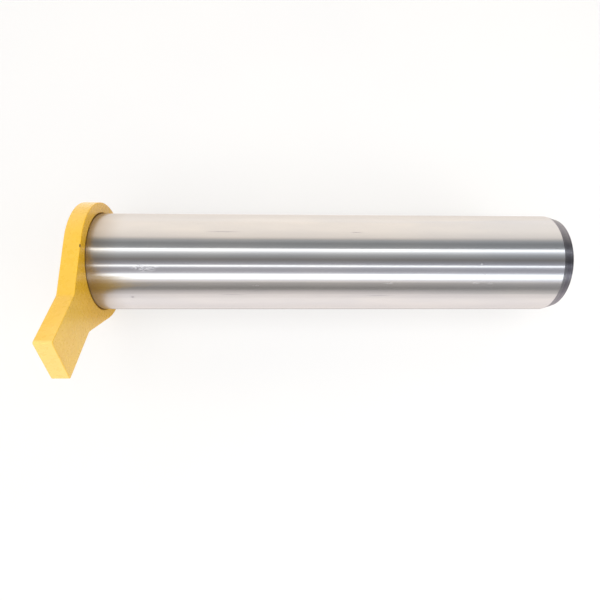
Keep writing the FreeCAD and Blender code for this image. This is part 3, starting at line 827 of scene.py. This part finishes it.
def make_studio():
    """The pale floor under the flag's rim, what the steel mirrors of it, and a plain backdrop."""
    middle = (cad_box[0] + cad_box[1]) / 2
    floor_place = (middle.x, 0.0, cad_box[0].z)
    floor_paper = pale_look("floor_look", FLOOR_GLOW, FLOOR_FAR_GLOW, FLOOR_ALBEDO)
    backdrop_paper = pale_look("backdrop_look", BACKDROP_GLOW, BACKDROP_GLOW, 0.0)
    floor = new_piece("floor", *disc_mesh(FLOOR_RADIUS), floor_paper)
    reflector = new_piece("reflector", *disc_mesh(FLOOR_RADIUS), reflector_look())
    backdrop = new_piece("backdrop", *dome_mesh(BACKDROP_RADIUS), backdrop_paper)
    floor.location = floor_place
    reflector.location = floor_place
    backdrop.location = middle
    floor.visible_glossy = False
    for way in ("camera", "diffuse", "transmission", "shadow"):
        setattr(reflector, "visible_" + way, False)
    for way in ("diffuse", "glossy", "transmission", "shadow"):
        setattr(backdrop, "visible_" + way, False)
    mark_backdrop(floor, reflector, backdrop)


# What the pin sees round its axis above the floor, from +Y (0 degrees) over the top (90) to -Y
# (180): degrees and radiance. Three long strip lights, which start at 80, 119 and 139.5 degrees,
# hang between dark gaps.
STUDIO = [
    (0, 1.68),
    (30, 1.60),
    (49, 1.38),
    (53, 1.08),
    (57, 0.62),
    (62, 0.54),
    (65, 0.40),
    (76, 0.55),
    (79, 0.80),
    (80, 3.00),
    (83, 3.00),
    (84.5, 1.90),
    (89, 1.05),
    (94, 0.66),
    (105, 0.34),
    (112, 0.50),
    (116, 0.70),
    (118, 1.00),
    (119, 3.00),
    (120.5, 3.00),
    (122, 1.10),
    (126.5, 0.66),
    (133, 0.70),
    (138, 1.10),
    (139.5, 2.60),
    (151, 2.60),
    (153, 1.40),
    (157, 1.35),
    (161, 0.72),
    (167, 0.62),
    (174, 0.42),
    (180, 0.50),
]
# The steps are tinted by where they lie, in degrees, and the strip lights by how bright they are.
WALL_END = 57
HAZE_START, HAZE_END = 98, 110
FRONT_START = 155
WALL_TINT = (1.0, 0.91, 0.83)
HAZE_TINT = (1.0, 0.94, 0.90)
LAMP_TINT = (0.97, 0.985, 1.0)
LAMP_RADIANCE = 2.0
FRONT_TINT = (0.97, 0.955, 1.03)
# How far a direction leans towards +X where the light turns cooler, then where it goes dark.
END_TINT = (0.93, 0.97, 1.03, 1.0)
TINT_FROM, TINT_TO = 0.2, 0.5
END_DARK = 0.12
END_FROM, END_TO = 0.62, 0.86


# Soft lamps for the paint, which the steel doesn't mirror: name, place, width and watts.
LAMPS = [
    ("top_lamp", (-0.1, -0.55, 1.30), 1.2, 6.5),
    ("side_lamp", (1.20, -0.50, 0.60), 0.9, 7.0),
]
LAMP_TARGET = (0.0, -0.08, 0.03)


def make_lamp(name, place, width, power):
    data = bpy.data.lights.new(name, "AREA")
    data.shape = "SQUARE"
    data.size = width
    data.energy = power
    lamp = bpy.data.objects.new(name, data)
    bpy.context.scene.collection.objects.link(lamp)
    lamp.location = place
    aim = Vector(LAMP_TARGET) - Vector(place)
    lamp.rotation_euler = aim.to_track_quat("-Z", "Y").to_euler()
    lamp.visible_camera = False
    lamp.visible_glossy = False


def make_light():
    """The studio's soft light, as a ring of long strips parallel to the pin, darker towards +X."""
    world = bpy.data.worlds.new("studio")
    bpy.context.scene.world = world
    world.use_nodes = True
    nodes = Nodes(world.node_tree)
    x, y, z = nodes.split(nodes.add("ShaderNodeTexCoord").outputs["Generated"])
    turn = nodes.math("ARCTAN2", nodes.math("ABSOLUTE", z), y)
    brightest = max(radiance for _, radiance in STUDIO)
    stops = []
    for degrees, radiance in STUDIO:
        tint = LAMP_TINT
        if degrees < WALL_END:
            tint = WALL_TINT
        elif HAZE_START < degrees < HAZE_END or degrees > FRONT_START:
            tint = HAZE_TINT
        elif degrees > HAZE_END and radiance < LAMP_RADIANCE:
            tint = FRONT_TINT
        colour = (*(radiance / brightest * part for part in tint), 1.0)
        stops.append((degrees / 180.0, colour))
    strips = nodes.ramp(nodes.math("DIVIDE", turn, math.pi), stops)
    strips = nodes.tinted(strips, nodes.mix(nodes.ease(x, TINT_FROM, TINT_TO), WHITE, END_TINT))
    dim = nodes.ease(x, END_FROM, END_TO, 1.0, END_DARK)
    strength = nodes.math("MULTIPLY", dim, brightest)
    background = nodes.add("ShaderNodeBackground", {"Color": strips, "Strength": strength})
    nodes.add("ShaderNodeOutputWorld", {"Surface": background.outputs[0]})
    for name, place, width, power in LAMPS:
        make_lamp(name, place, width, power)


# The camera as solved from the photo's outlines. Its turn is in degrees and its lens in millimetres.
CAMERA_PLACE = (0.2389, -0.2313, 0.6032)
CAMERA_TURN = (16.437, -1.921, -0.544)
CAMERA_LENS = 28.48
SENSOR_WIDTH = 36.0
CLIP_START, CLIP_END = 0.01, 100.0


def make_camera():
    data = bpy.data.cameras.new("camera")
    data.lens = CAMERA_LENS
    data.sensor_width = SENSOR_WIDTH
    data.clip_start = CLIP_START
    data.clip_end = CLIP_END
    camera = bpy.data.objects.new("camera", data)
    bpy.context.scene.collection.objects.link(camera)
    camera.location = CAMERA_PLACE
    camera.rotation_euler = [math.radians(turn) for turn in CAMERA_TURN]
    bpy.context.scene.camera = camera


paint_nodes()
make_weld_bead()
make_spring()
make_studio()
make_light()
make_camera()
bpy.context.scene.view_settings.view_transform = "Standard"

boxes = {"cad": cad_box, "visual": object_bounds()}
boxes = {name: [list(corner) for corner in box] for name, box in boxes.items()}
